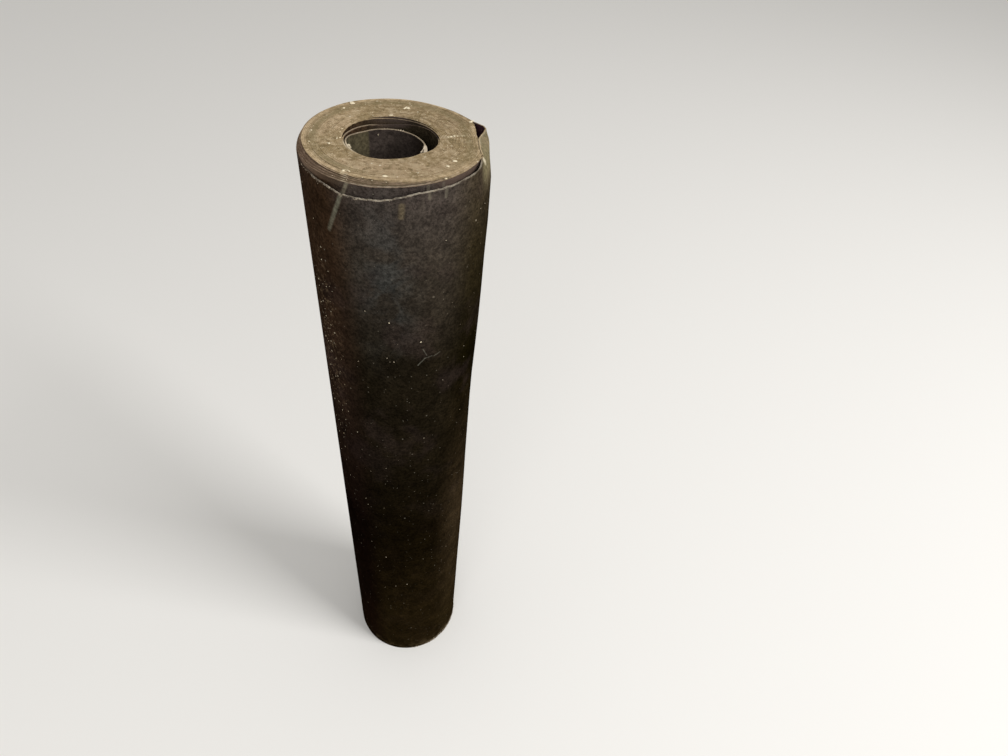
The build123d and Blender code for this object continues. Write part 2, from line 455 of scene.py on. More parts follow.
class Nodes:
    """Builds one material's nodes with short calls, and its colour coat by coat.

    A tint is written as it shows on screen, as red, green and blue from 0 to 255.
    """

    def __init__(self, name):
        self.material = bpy.data.materials.new(name)
        self.material.use_nodes = True
        self.tree = self.material.node_tree
        self.shader = self.tree.nodes["Principled BSDF"]
        self.place = self.add("ShaderNodeTexCoord").outputs["Object"]
        split = self.add("ShaderNodeSeparateXYZ", {"Vector": self.place})
        self.height = split.outputs["Z"]
        self.azimuth = self.math("DEGREES", self.math("ARCTAN2", split.outputs["Y"], split.outputs["X"]))
        self.colour = None

    def add(self, kind, inputs=None, **settings):
        """A new node with these inputs and settings."""
        node = self.tree.nodes.new(kind)
        for name, setting in settings.items():
            setattr(node, name, setting)
        self.feed(node, inputs or {})
        return node

    def feed(self, node, inputs):
        """Sets a node's inputs, each to a number, a tuple or another node's output."""
        for name, source in inputs.items():
            if isinstance(source, (int, float, tuple)):
                node.inputs[name].default_value = source
            else:
                self.tree.links.new(source, node.inputs[name])

    def math(self, operation, first, second=0, third=0):
        """One step of arithmetic."""
        return self.add("ShaderNodeMath", {0: first, 1: second, 2: third}, operation=operation).outputs[0]

    def times(self, first, *others):
        """The product of two or more numbers."""
        for other in others:
            first = self.math("MULTIPLY", first, other)
        return first

    def plus(self, first, second):
        return self.math("ADD", first, second)

    def minus(self, first, second):
        return self.math("SUBTRACT", first, second)

    def over(self, first, second):
        """1 where the first number is the larger one, and 0 elsewhere."""
        return self.math("GREATER_THAN", first, second)

    def under(self, first, second):
        """1 where the first number is the smaller one, and 0 elsewhere."""
        return self.math("LESS_THAN", first, second)

    def vector(self, operation, first, second=None):
        """One step of vector arithmetic."""
        node = self.add("ShaderNodeVectorMath", {0: first}, operation=operation)
        if second is not None:
            self.feed(node, {"Scale" if operation == "SCALE" else 1: second})
        gives_number = operation in ("LENGTH", "DISTANCE", "DOT_PRODUCT")
        return node.outputs["Value" if gives_number else "Vector"]

    def attribute(self, name):
        """One of the mesh's own measures."""
        return self.add("ShaderNodeAttribute", attribute_name=name).outputs["Fac"]

    def steps(self, source, low, high, out_low=0, out_high=1, smooth=True):
        """Maps a range to another, clamped at both ends."""
        inputs = {"Value": source, "From Min": low, "From Max": high, "To Min": out_low, "To Max": out_high}
        curve = "SMOOTHSTEP" if smooth else "LINEAR"
        return self.add("ShaderNodeMapRange", inputs, interpolation_type=curve).outputs["Result"]

    def around(self, source, middle, half_width):
        """1 at a middle value, falling to 0 at half a width away."""
        return self.steps(self.math("ABSOLUTE", self.minus(source, middle)), half_width, 0)

    def facing(self, azimuth, half_width):
        """1 at an azimuth, falling to 0 at half a width away on either side."""
        away = self.math("WRAP", self.minus(self.azimuth, azimuth), HALF_TURN, -HALF_TURN)
        return self.steps(self.math("ABSOLUTE", away), half_width, 0)

    def past(self, start, end, *outs):
        """0 before one azimuth and 1 past another, or the numbers given for them."""
        return self.steps(self.azimuth, start, end, *outs)

    def noise(self, scale, detail=4, roughness=0.55, place=None, distortion=0):
        """Soft noise round 0.5."""
        inputs = {"Vector": place or self.place, "Scale": scale, "Detail": detail, "Roughness": roughness,
                  "Distortion": distortion}
        return self.add("ShaderNodeTexNoise", inputs).outputs["Fac"]

    def mapped(self, setting, amounts):
        """The object's coordinates, moved or scaled along each axis."""
        return self.add("ShaderNodeMapping", {"Vector": self.place, setting: amounts}).outputs["Vector"]

    def specks(self, scale, size, density, seed):
        """Small scattered spots, as a mask from 0 to 1."""
        moved = self.mapped("Location", (seed * 0.37, seed * 0.71, seed * 0.13))
        cells = self.add("ShaderNodeTexVoronoi", {"Vector": moved, "Scale": scale})
        chosen = self.add("ShaderNodeSeparateColor", {"Color": cells.outputs["Color"]})
        picked = self.over(chosen.outputs["Red"], 1 - density)
        reach = self.times(chosen.outputs["Green"], size)
        return self.times(picked, self.under(cells.outputs["Distance"], reach))

    def near_line(self, places, start, end, half_width):
        """1 on a straight line between two places, falling softly to 0 beside it."""
        line = end - start
        offset = self.vector("SUBTRACT", places, tuple(start))
        along = self.vector("DOT_PRODUCT", offset, tuple(line / line.length_squared))
        along = self.math("MINIMUM", self.math("MAXIMUM", along, 0), 1)
        away = self.vector("DISTANCE", offset, self.vector("SCALE", tuple(line), along))
        return self.steps(away, half_width * 2, half_width / 2)

    def mix(self, share, first, second):
        """A colour between two others, each a tint or another node's output."""
        first, second = (srgb(*tint) if isinstance(tint, tuple) else tint for tint in (first, second))
        inputs = {"Factor": share, "A": first, "B": second}
        return self.add("ShaderNodeMix", inputs, data_type="RGBA").outputs["Result"]

    def coat(self, tint, *shares):
        """Lays one more tint over the colour, by the product of its shares."""
        self.colour = self.mix(self.times(*shares), self.colour, tint)

    def shaded(self, colour, *factors):
        """A colour made lighter or darker by each factor in turn."""
        for factor in factors:
            colour = self.vector("SCALE", colour, factor)
        return colour

    def graded(self, source, stops):
        """A colour read from a row of stops, each a place from 0 to 1 and a tint."""
        node = self.add("ShaderNodeValToRGB", {"Fac": source})
        for _ in stops[2:]:
            node.color_ramp.elements.new(0.5)
        for element, (place, _) in zip(node.color_ramp.elements, stops):
            element.position = place
        for element, (_, tint) in zip(node.color_ramp.elements, stops):
            element.color = srgb(*tint)
        return node.outputs["Color"]

    def graded_value(self, source, table):
        """A number read from a table by azimuth."""
        curve = self.add("ShaderNodeFloatCurve",
                         {"Value": self.steps(source, -HALF_TURN, HALF_TURN, smooth=False)})
        top = max(amount for _, amount in table)
        points = curve.mapping.curves[0].points
        for _ in table[2:]:
            points.new(0.5, 0.5)
        for point, (place, amount) in zip(points, table):
            point.location = ((place + HALF_TURN) / FULL_TURN, amount / top)
            point.handle_type = "VECTOR"
        curve.mapping.update()
        return self.times(curve.outputs["Value"], top)

    def finish(self, roughness, gloss):
        """Gives the material its colour and its dry surface."""
        inputs = {"Base Color": self.colour, "Roughness": roughness, "Specular IOR Level": gloss}
        self.feed(self.shader, inputs)
        return self.material

    def relief(self, height, distance):
        """Fine bumps on the surface."""
        bumps = self.add("ShaderNodeBump", {"Distance": distance, "Height": height})
        self.feed(self.shader, {"Normal": bumps.outputs["Normal"]})


class Felt(Nodes):
    """The nodes of one of the strip's materials, with the strip's own measures."""

    def __init__(self, name):
        super().__init__(name)
        self.below, self.above = self.attribute("below_top"), self.attribute("above_foot")
        self.turns, self.sunk = self.attribute("turns_in"), self.attribute("sunk")
        side = self.attribute("side")
        self.outside, self.inside = self.over(side, 0), self.under(side, 0)
        self.last_turn, self.pack = self.under(self.turns, 0), self.over(self.turns, 0)
        self.first_turn = self.over(self.turns, LAP_START)
        self.before_first = self.under(self.turns, LAP_START)

    def ring_noise(self, across, along, seed):
        """Noise drawn out along the winding."""
        angle = self.math("RADIANS", self.azimuth)
        reach = math.degrees(along)
        place = self.add("ShaderNodeCombineXYZ", {
            "X": self.plus(self.times(self.turns, across), seed),
            "Y": self.times(self.math("COSINE", angle), reach),
            "Z": self.times(self.math("SINE", angle), reach)})
        return self.noise(1, 3, 0.6, place.outputs["Vector"])


def srgb(red, green, blue):
    """A tint as the shader needs it."""
    def linear(c):
        c /= 255
        return c / 12.92 if c <= 0.04045 else ((c + 0.055) / 1.055) ** 2.4
    return (linear(red), linear(green), linear(blue), 1)


# The felt's roughness
DRY = 0.95

# Where the bore's painted lit left ends, in turns in from the pack's outside
LIT_BORE_TO = (PACK_END - 118.7) / FULL_TURN

# Marks on the side: start and end as azimuth and height, half width in millimetres, strength, tint
SCRAPE = (116, 114, 98)
TWIG = (112, 110, 99)
MARKS = [
    ((-118, 0.913), (-121.5, 0.901), 1.2, 0.8, (140, 132, 112)),
    ((-122.5, 0.899), (-127.1, 0.883), 1.4, 0.8, SCRAPE),
    ((-127.1, 0.883), (-133.6, 0.861), 1.5, 0.7, SCRAPE),
    ((-88, 0.898), (-88.6, 0.888), 1.9, 0.5, (120, 106, 80)),
    ((-62.5, 0.911), (-63, 0.902), 1.1, 0.6, (120, 114, 98)),
    ((-72.5, 0.911), (-72.8, 0.903), 1.1, 0.5, (116, 108, 92)),
    ((-79.4, 0.718), (-74.5, 0.726), 0.5, 0.8, TWIG),
    ((-74.5, 0.726), (-69.5, 0.727), 0.4, 0.6, TWIG),
    ((-76, 0.739), (-73.1, 0.729), 0.35, 0.5, TWIG),
    ((-68, 0.726), (-63.5, 0.729), 0.35, 0.5, TWIG),
    ((-25, 0.9135), (-22, 0.9085), 1.5, 1, (216, 204, 178)),
    ((-22, 0.9085), (-18.5, 0.902), 0.7, 0.6, (164, 152, 124)),
]

# The side's tints by height, as parts of a metre, at the front, the left and the right; they lighten
# towards the top partly with dust and partly as painted shade lower down, the left's darker tints are
# partly painted shade and the right's tints partly painted light
FRONT_TINTS = [(0.03, (32, 24, 11)), (0.40, (16, 11, 4)), (0.72, (28, 23, 15)), (0.84, (51, 45, 38)),
               (0.91, (64, 57, 52))]
LEFT_TINTS = [(0.03, (21, 12, 6)), (0.40, (12, 6, 4)), (0.65, (40, 29, 22)), (0.91, (51, 37, 25))]
RIGHT_TINTS = [(0.03, (35, 27, 13)), (0.40, (43, 34, 22)), (0.70, (12, 9, 2)), (0.84, (36, 30, 18)),
               (0.905, (57, 49, 37))]


def side_ground(m):
    """The side's tints by height, front, left, right and back, partly painted light and shade, with a cool
    painted sheen at the upper front and warm clouds in them.
    """
    left = m.graded(m.height, LEFT_TINTS)
    m.colour = m.graded(m.height, FRONT_TINTS)
    # Painted shade: the left and the back take the left's darker tints, away from the light at the right.
    m.coat(left, m.past(-112, -136))
    m.coat(m.graded(m.height, RIGHT_TINTS), m.past(-66, -36))
    m.coat(left, m.past(70, 178))
    # Painted sheen: a cool grey patch on the upper front stands for the lamp's broad soft reflection.
    m.coat((48, 51, 51), m.facing(-98, 28), m.around(m.height, 0.82, 0.14),
           m.steps(m.blots, 0.4, 0.6, 0.1, 0.55))
    m.coat((50, 40, 38), m.steps(m.noise(17, 3, 0.5), 0.5, 0.66, 0, 0.3),
           m.steps(m.height, 0.35, 0.7, 0.1, 1))


def side_mottling(m):
    """Mottling from hand-sized clouds down to single fibres."""
    m.colour = m.shaded(m.colour, m.steps(m.clouds, 0.36, 0.64, 1.08, 0.86),
                        m.steps(m.blots, 0.36, 0.64, 0.85, 1.13), m.steps(m.mottle, 0.34, 0.66, 0.8, 1.2),
                        m.steps(m.grain, 0.34, 0.66, 0.6, 1.45), m.steps(m.fine, 0.3, 0.75, 0.85, 1.2))


def upper_dust_and_shade(m):
    """Dust on the bent shoulder, painted shade on the hollow inside of the free end, and smears under the
    torn edge.
    """
    m.coat(m.mix(m.steps(m.blots, 0.36, 0.64), (138, 123, 98), (132, 122, 92)), m.last_turn, m.outside,
           m.past(-34, -21), m.steps(m.below, 0.034, 0.004), m.steps(m.mottle, 0.3, 0.6, 0.6, 1),
           m.steps(m.grain, 0.34, 0.6, 0.66, 1))
    # Painted shade: the free end's inside, in the hollow behind the fold, is darkened to a dull purple.
    m.coat((66, 44, 50), m.last_turn, m.inside, m.past(-12, -4))
    drips = m.noise(1, 3, 0.6, m.mapped("Scale", (62, 62, 14)))
    m.coat((116, 108, 92), m.last_turn, m.outside, m.steps(drips, 0.54, 0.74),
           m.steps(m.below, 0.022, 0.002), m.past(-40, -60), 0.4)


def dust_bits(m):
    """Dust bits, thickest along the left."""
    m.coat((128, 108, 84), m.steps(m.lint, 0.55, 0.64), m.facing(-150, 24), m.around(m.height, 0.72, 0.18),
           0.6)
    dots = m.math("MAXIMUM", m.specks(190, 0.22, 0.06, 1), m.specks(430, 0.3, 0.05, 2))
    m.coat((140, 132, 116), dots, m.steps(m.clouds, 0.4, 0.55, 0.1, 0.4))


def bore_wall(m):
    """The bore in painted light and shade: a lit left with a sharp shadow border, a duller middle and a
    dark shaded right.
    """
    wall = m.plus(m.turns, m.times(m.blots, 0.004))
    # Painted light and shade: the wall's left is lit from the right up to a sharp border, and its right
    # lies in painted shade.
    bore = m.mix(m.steps(wall, LIT_BORE_TO + 0.012, LIT_BORE_TO), (64, 56, 51), (78, 71, 54))
    bore = m.mix(m.steps(wall, LIT_BORE_TO + 0.17, LIT_BORE_TO + 0.30), bore, (30, 24, 16))
    bore = m.shaded(bore, m.steps(m.mottle, 0.34, 0.66, 0.75, 1.25), m.steps(m.grain, 0.34, 0.66, 0.7, 1.3))
    m.coat(bore, m.first_turn, m.inside, m.steps(m.below, 0.12, 0.05))


def torn_fibres(m):
    """Light fibres along the last turn's torn edge."""
    strength = m.plus(m.steps(m.noise(90), 0.42, 0.58, 0, 0.75), m.times(m.facing(-103, 16), 0.7))
    m.coat((168, 158, 141), m.last_turn, m.steps(m.ragged, 0.0009, 0.0019, 1, 0),
           m.math("MINIMUM", strength, 0.95), m.past(-154, -140, 0.1, 1), m.past(-70, -44, 1, 0.55))


def slipped_risers(m):
    """Dust on the edges of the pack's turns, and on what shows of those that have slipped."""
    edge = m.steps(m.ragged, 0.0007, 0.0014, 1, 0)
    m.coat(m.mix(m.steps(m.sunk, 0.4, 1.2), (150, 130, 98), (134, 113, 94)), m.pack, edge, 0.85)
    at_left = m.times(m.pack, m.facing(-172, 66), m.steps(m.below, 0.0060, 0.0035),
                      m.steps(edge, 0, 1, 0.95, 0.5))
    leaning = m.times(m.steps(m.sunk, 0.4, 1.4), m.steps(m.math("ABSOLUTE", m.azimuth), 36, 60),
                      m.steps(m.turns, 0.9, 1), m.steps(m.turns, 9, 8))
    brown = m.mix(m.steps(m.mottle, 0.4, 0.6), (112, 91, 78), (136, 114, 98))
    m.coat(m.mix(m.facing(-172, 74), (100, 87, 69), brown), m.math("MAXIMUM", at_left, leaning),
           m.steps(m.turns, 9, 8))
    m.coat((92, 77, 68), m.pack, m.under(m.turns, 1), m.past(-74, -56), m.past(-10, -20),
           m.steps(edge, 0, 1, 0.8, 0.1))


def bore_rim(m):
    """The worn turns at the back of the bore, and the first turn's light edge and free end."""
    m.coat(m.mix(m.past(60, 82), (28, 22, 17), (66, 56, 50)),
           m.over(m.turns, PACK_TURNS - WORN_TURNS - 0.5), m.before_first, m.facing(88, 52),
           m.steps(m.below, 0.005, 0.001))
    m.coat((168, 156, 138), m.first_turn, m.steps(m.ragged, 0.0006, 0.0012, 1, 0), 0.6)
    m.coat((226, 212, 190), m.steps(m.turns, LAP_END - 0.022, LAP_END - 0.006),
           m.steps(m.below, 0.020, 0.012))


def foot_wear(m):
    """Frayed fibres at the front of the foot, and dirt round it."""
    frayed_to = m.times(m.lint, m.past(-78, -60, 0.006, 0.015))
    m.coat((146, 133, 112), m.past(-90, -62), m.past(34, 16), m.steps(m.noise(300), 0.42, 0.58, 0.15, 0.8),
           m.steps(m.minus(m.above, frayed_to), -0.003, 0.001, 1, 0))
    m.coat((88, 76, 56), m.steps(m.above, 0, 0.030, 1, 0), m.steps(m.mottle, 0.45, 0.65), 0.45)


def unrolled(azimuth, height):
    """A place on the side, laid out flat."""
    return Vector((math.radians(azimuth) * LAST_TURN_RADIUS, height, 0))


def side_marks(m):
    """The scrape, smears, scratches and the fold's crease."""
    around = m.times(m.azimuth, math.radians(LAST_TURN_RADIUS))
    flat = m.add("ShaderNodeCombineXYZ", {"X": around, "Y": m.height})
    patchy = m.times(m.outside, m.under(m.turns, 1), m.steps(m.mottle, 0.3, 0.6, 0.5, 1),
                     m.steps(m.grain, 0.4, 0.6, 0.6, 1))
    for start, end, half_width, share, tint in MARKS:
        mark = m.near_line(flat.outputs["Vector"], unrolled(*start), unrolled(*end), half_width * MM)
        m.coat(tint, mark, patchy, share)


def felt_side():
    """Dry black felt: mottled, lighter towards its top with dust and painted shade lower down, painted
    light and shade round its sides and in the bore, a painted sheen at the front, speckled and scuffed.
    """
    m = Felt("asphalt_felt_side")
    m.clouds, m.blots = m.noise(10, 5, 0.6), m.noise(26, 3, 0.6, distortion=0.6)
    m.mottle, m.lint = m.noise(70, 5, 0.65), m.noise(210, 3, 0.8)
    m.grain, m.fine = m.noise(330, 4, 0.75), m.noise(1100, 2, 0.7)
    m.ragged = m.plus(m.below, m.times(m.noise(260), 0.0014))
    for lay in (side_ground, side_mottling, upper_dust_and_shade, dust_bits, bore_wall, torn_fibres, slipped_risers,
                bore_rim, foot_wear, side_marks):
        lay(m)
    m.relief(m.plus(m.plus(m.grain, m.times(m.mottle, 1.6)), m.times(m.fine, 0.35)), 0.0009)
    return m.finish(DRY, 0)


# The number of turns outside the light lip, by azimuth
LIP_TURNS = LEANING_TURNS[:12] + [(-66, 2.8), (-24, 1.5), (0, 4.5), (7, 5.5), (18, 2.6), (28, 0.5),
                                  (90, 2), (135, 3.4), (180, 3.3)]

# Light streaks on the wound end: start and end as x and y, half width, all in millimetres, and strength
END_STREAKS = [((43.6, 1.3), (50.6, 5.3), 1.2, 0.85), ((50.6, 5.3), (58.5, 6), 1, 0.75),
               ((-43, -63), (-39.6, -58.6), 1.3, 0.7)]


def end_ground(m):
    """The tan dust: clouds, broken rings along the winding, patches and grains."""
    m.colour = m.mix(m.steps(m.clouds, 0.40, 0.60), (148, 128, 94), (174, 151, 120))
    broken = m.times(m.steps(m.patches, 0.35, 0.6, 0.2, 1), m.plus(m.times(m.facing(10, 120), 0.55), 0.45))
    m.coat((122, 105, 72), m.steps(m.ring_noise(0.75, 0.02, 3), 0.45, 0.7, 0, 0.4), broken)
    m.coat((104, 88, 62), m.steps(m.ring_noise(2.6, 0.05, 7), 0.5, 0.75, 0, 0.35), broken)
    m.coat((188, 169, 138), m.steps(m.patches, 0.52, 0.62, 0, 0.6))
    m.coat((114, 99, 66), m.steps(m.patches, 0.48, 0.36, 0, 0.65))
    m.coat((198, 177, 146), m.steps(m.grit, 0.53, 0.63, 0, 0.6))
    m.coat((104, 87, 58), m.steps(m.grit, 0.47, 0.36, 0, 0.6))
    m.colour = m.shaded(m.colour, m.steps(m.from_front, 20, 85, 0.91, 1.05),
                        m.steps(m.facing(88, 70), 0, 1, 1, 0.91))
    m.coat((212, 196, 168), m.steps(m.fine, 0.55, 0.75, 0, 0.55))
    m.coat((88, 72, 48), m.steps(m.fine, 0.44, 0.28, 0, 0.45))


def end_rings(m):
    """A lighter lip round the rim, an olive ring and lines inside it, and stains towards the back."""
    m.coat(m.mix(m.steps(m.grit, 0.45, 0.6), (186, 163, 128), (208, 184, 148)),
           m.around(m.from_lip, 1.4, 3.2), m.steps(m.patches, 0.36, 0.58, 0.3, 1),
           m.steps(m.facing(-85, 60), 0, 1, 0.7, 0.5))
    not_front = m.steps(m.from_front, 20, 60, 0.15, 1)
    cloudy = m.steps(m.clouds, 0.38, 0.55, 0.4, 1)
    m.coat((124, 112, 80), m.around(m.from_lip, 7, 4.5), cloudy, not_front, 0.75)
    m.coat((112, 98, 66), m.around(m.from_lip, 3.3, 0.9), cloudy, not_front, 0.65)
    m.coat((116, 100, 72), m.around(m.turns, 21, 1.2), m.steps(m.clouds, 0.45, 0.6), not_front, 0.45)
    m.coat((112, 95, 66), m.facing(38, 60), m.steps(m.clouds, 0.42, 0.66), 0.5)


def slipped_tops(m):
    """The slipped turns hold less dust, apart from the pack's outermost one at the front, and a painted
    shadow lies in the step behind it.
    """
    brown = m.mix(m.facing(-165, 62), (104, 90, 69), (114, 91, 74))
    brown = m.mix(m.steps(m.grit, 0.46, 0.62, 0, 0.8), brown, (148, 126, 106))
    brown = m.mix(m.steps(m.grit, 0.44, 0.32, 0, 0.6), brown, (74, 60, 50))
    m.coat(brown, m.steps(m.plus(m.from_lip, m.times(m.patches, 1.2)), 0.8, -0.1),
           m.steps(m.sunk, 0.25, 0.6), 0.9)
    # Painted shadow in the shallow step behind the pack's outermost turn at the front.
    m.coat((58, 49, 38), m.around(m.turns, 1.5, 0.7), m.facing(-98, 42), 0.6)
    m.coat((166, 154, 136), m.steps(m.turns, 1.02, 0.95), m.facing(-98, 46),
           m.steps(m.grit, 0.4, 0.55, 0.3, 0.9))


def bore_tops(m):
    """The turns round the bore: worn at the back, and light on the dusty left."""
    inner = m.over(m.turns, PACK_TURNS - 0.95)
    m.coat(m.mix(m.steps(m.grit, 0.4, 0.6), (78, 66, 56), (112, 98, 84)), m.before_first, m.facing(58, 78),
           m.steps(m.sunk, 0.8, 2), m.steps(m.turns, PACK_TURNS - 3, PACK_TURNS - 2), 0.9)
    m.coat((140, 128, 110), inner, m.steps(m.sunk, 0.5, 1.5, 0, 0.75))
    m.coat(m.mix(m.past(75, 50), (66, 56, 50), (30, 24, 20)), m.before_first, inner, m.past(128, 112),
           m.steps(m.sunk, 0.6, 1.2))
    m.coat((204, 190, 166), m.around(m.turns, PACK_TURNS - 0.04, 0.07), 0.9)
    m.coat((198, 182, 156), m.facing(-158, 17), m.steps(m.turns, PACK_TURNS - 2.2, PACK_TURNS - 1), 0.7)


def split_end(m):
    """The light first end, and a dark line of painted shadow where it is split."""
    m.coat((214, 198, 174), m.steps(m.turns, LAP_END - 0.075, LAP_END - 0.045))
    # Painted shadow: a dark line stands for the gap in the split first end.
    reach = m.vector("LENGTH", m.vector("SUBTRACT", m.level, (*FIRST_TURN_CENTRE, 0)))
    m.coat((70, 60, 50), m.around(reach, BORE_RADIUS - FIRST_TURN_SLACK - 1.7 * MM, 1.1 * MM),
           m.steps(m.turns, LAP_END - 0.030, LAP_END - 0.018))


def end_marks(m):
    """Light streaks, and the scraped lip at the front left."""
    for start, end, half_width, share in END_STREAKS:
        mark = m.near_line(m.level, Vector((*start, 0)) * MM, Vector((*end, 0)) * MM, half_width * MM)
        m.coat((206, 190, 158), mark, m.steps(m.grit, 0.36, 0.52, 0.3, 1), share)
    m.coat((176, 164, 138), m.facing(-121.5, 2.6), m.under(m.from_lip, 1.5),
           m.steps(m.grit, 0.4, 0.55, 0.25, 0.75))


def last_turn_top(m):
    """The last turn's top: dusty on the fold at the right, dull with light fibres where it is torn."""
    m.coat((184, 164, 130), m.last_turn, m.past(-24, -18), m.past(14, 4), 0.7)
    torn = m.times(m.last_turn, m.past(-22, -34))
    m.coat(m.mix(m.past(-150, -136), (56, 43, 35), (84, 75, 64)), torn, 0.8)
    m.coat((170, 160, 144), torn, m.past(-70, -44, 1, 0.6), m.past(-152, -139, 0.05, 1),
           m.steps(m.noise(90), 0.4, 0.6, 0.3, 0.9))


def felt_end():
    """The sheet's top edge: felt fibres under a coat of tan dust, with painted shadow in the step behind
    the pack's outer lip and in the split first end.
    """
    m = Felt("asphalt_felt_end")
    m.clouds, m.patches = m.noise(24, 5, 0.6), m.noise(70, 4, 0.65)
    m.grit, m.fine = m.noise(230, 3, 0.7), m.noise(620, 4, 0.8)
    m.from_lip = m.minus(m.turns, m.graded_value(m.azimuth, LIP_TURNS))
    m.from_front = m.math("ABSOLUTE", m.plus(m.azimuth, 80))
    m.level = m.vector("MULTIPLY", m.place, (1, 1, 0))
    for lay in (end_ground, end_rings, slipped_tops, bore_tops, split_end, end_marks, last_turn_top):
        lay(m)
    m.coat((222, 210, 186), m.specks(300, 0.3, 0.10, 5), 0.7)
    m.relief(m.plus(m.fine, m.patches), 0.0006)
    return m.finish(DRY, 0.1)


def felt_foot():
    """The sheet's foot edge, dark and a little frayed."""
    m = Nodes("asphalt_felt_foot")
    fine = m.noise(600, 3, 0.7)
    m.colour = m.mix(m.steps(fine, 0.35, 0.7), (34, 28, 22), (92, 82, 70))
    m.relief(fine, 0.0005)
    return m.finish(DRY, 0.5)


# Large crumbs on the side, as azimuth and millimetres above the floor
BRIGHT_CRUMBS = [(-97.6, 775), (-77.4, 749), (-146.2, 571.5)]
SIDE_CRUMBS = [
    (-60.2, 685.5), (-105.2, 545), (-118.7, 530.5), (-98.1, 724), (-95.4, 724), (-100, 729), (-74.7, 599),
    (-38.3, 612), (-40.6, 717), (-39.5, 700), (-38.2, 866), (-32.9, 874), (-27.1, 874.5), (-62, 860),
    (-121, 715), (-112.7, 785), (-141.9, 763), (-149.5, 733.5), (-163.9, 800), (-126.7, 463), (-125, 451),
    (-109.3, 456), (-124.9, 357), (-110.8, 327), (-118.8, 277), (-120.6, 290), (-90.9, 249), (-54, 423),
    (-47.2, 316), (-114.5, 229), (-102.3, 242), (-142.5, 127), (-74.4, 318)]

# Large crumbs on the wound end, as x, y and size in millimetres
END_CRUMBS = [
    (-39.3, 62.4, 3.4), (-46, 51.4, 1.3), (8.5, 56.4, 2), (11.5, 57, 1.9), (-4.3, 40.8, 2),
    (67.4, 33.6, 1.7), (-55.2, -15.8, 1.4), (-9.6, -67.2, 2.1), (41, -48.8, 1.6), (47.3, -40.2, 1.7),
    (44.4, 2, 1.2), (47, 2.8, 1.1), (50, 3.8, 1.2), (53, 4.6, 0.9), (69.3, 35.4, 1.5), (-46.9, -5.4, 1),
    (-46, 11.6, 1.3), (-71, 6.6, 0.9), (-72, -17, 0.9), (-47.4, 6.3, 1.2), (-49.3, -6.5, 1),
    (-42, -59.5, 1.2), (-37.4, -60.9, 1.1), (38.1, -68.1, 1.3), (-36.1, -54.5, 1.1), (-19.8, -55.2, 1),
    (-71.4, -13.4, 1), (-38.1, 26, 1)]
CRUMB_GROWTH = 1.35

# Fluff on the torn edge, as azimuth, millimetres above the edge and size
TEAR_FLUFF = [
    (-121.9, -0.6, 1.7), (-122.6, -2, 1.5), (-121.2, 0.4, 1.2), (-123.2, -0.6, 1.3), (-138.7, -3, 1.2),
    (-139.3, -1.6, 1.1), (-113.5, -1.4, 1.5), (-112.7, -0.7, 1.2), (-114.6, -0.8, 1.1), (-97.4, -0.3, 1.3),
    (-94.5, -0.3, 1.2), (-92, -0.3, 1.3), (-129.3, -0.2, 1.1), (-144, -0.2, 1)]

# Chips where the first turn leaves the bore's wall: azimuth, radius, millimetres below the end and size
BORE_CHIPS = [(-163.5, 41.9, 3.4, 3), (-157, 42.6, 1.6, 2.3), (-151, 43.8, 0.6, 1.8)]

# Fluff on the first turn's top edge, by station and size, and one speck on its inside
RIM_FLUFF = [(92, 1.1), (87, 1.2), (84, 0.8), (71, 1), (68, 1.4), (64, 1.2), (77, 0.7), (100, 0.7)]
WALL_SPECK = (102, 901.5, 1.6)

# How much of a flake is felt, from 0 for pale grit to 1 for a long thin fibre
GRIT, CHIP, LEFT_BIT, FLECK, MIXED, FRAY, FIBRE = 0, 0.36, 0.38, 0.45, 0.5, 0.8, 1

# A flake's corners, and the number of small ones scattered on each part
FLAKE_CORNERS = 7
SIDE_SCATTER = 105
TEAR_SCATTER = 110
FOOT_SCATTER = 64
LEFT_SCATTER = 90
END_SCATTER = 130
UP = Vector((0, 0, 1))


def raised(flat, height):
    """A flat vector, or any pair of numbers, at this height."""
    return Vector((flat[0], flat[1], height))


def side_place(azimuth, height):
    """The place on the last turn's outside at this azimuth and height, and its outward direction."""
    middle, outward = middle_of(last_station(azimuth), height)
    return raised(middle + outward * FELT / 2, height), raised(outward, 0)


def end_place(x, y):
    """The place on the wound end over this point, on the nearest turn's top edge."""
    azimuth = math.degrees(math.atan2(y, x))
    passing = (azimuth + turn * FULL_TURN for turn in range(PACK_TURNS + 2))
    in_pack = [station for station in passing if PACK_START < station < PACK_END]
    nearest = min(in_pack, key=lambda station: math.dist(middle_of(station, TALL)[0], (x, y)))
    return raised((x, y), top_of(nearest)), UP


